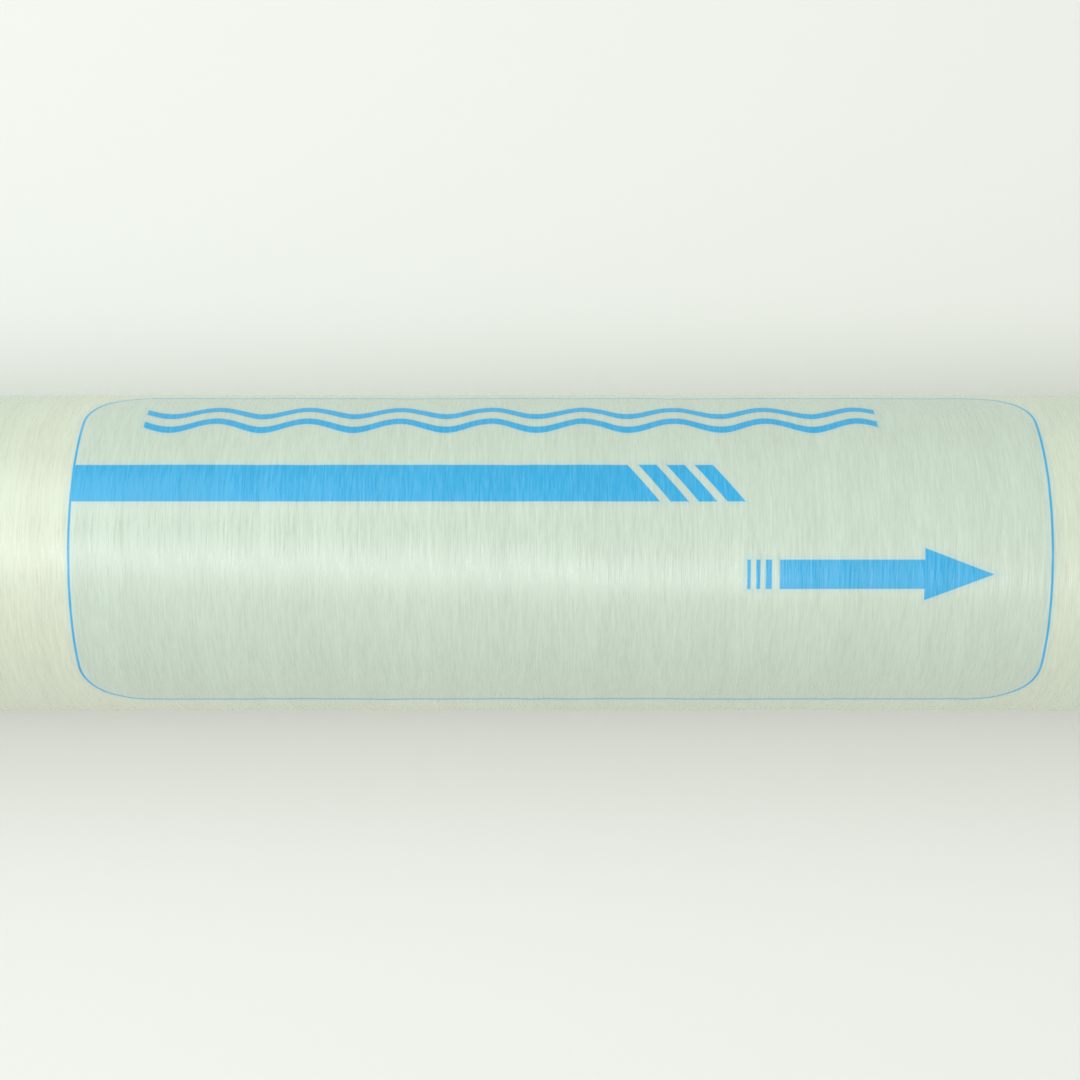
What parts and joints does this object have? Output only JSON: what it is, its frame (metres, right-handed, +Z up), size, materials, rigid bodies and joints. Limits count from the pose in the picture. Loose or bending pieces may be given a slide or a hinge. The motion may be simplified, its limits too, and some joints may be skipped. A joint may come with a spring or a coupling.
{
  "type": "reverse osmosis membrane element",
  "caption": "Spiral-wound membrane roll on a perforated permeate tube, held by spoked end caps in a fibreglass shell with a lip seal at the feed end.",
  "frame": {"origin": "centre of the permeate tube's feed end face", "axes": "+X along the tube in the direction of flow, from the feed end to the brine end; +Z up through the middle of the printed film"},
  "size_m": [1.016, 0.104, 0.104],
  "materials": {
    "tube_plastic": "extruded and turned, satin",
    "permeate_cloth": "stiffened knitted cloth",
    "membrane": "coated sheet with an open spacer net, cut edges",
    "tape": "polyester tape",
    "film": "printed film, blue on pale green",
    "glass_fibre": "translucent pale green resin over hoop-wound glass, satin",
    "cap_plastic": "moulded, fine matt",
    "seal_rubber": "moulded rubber, matt"
  },
  "bodies": {
    "root": {"permeate_tube": "tube_plastic", "core_wrap": "permeate_cloth", "membrane_leaf_1": "membrane", "membrane_leaf_2": "membrane", "membrane_leaf_3": "membrane", "membrane_leaf_4": "membrane", "membrane_leaf_5": "membrane", "closing_tape": "tape", "printed_film": "film", "fibreglass_shell": "glass_fibre", "feed_end_cap": "cap_plastic", "brine_end_cap": "cap_plastic", "brine_seal": "seal_rubber"}
  },
  "joints": []
}
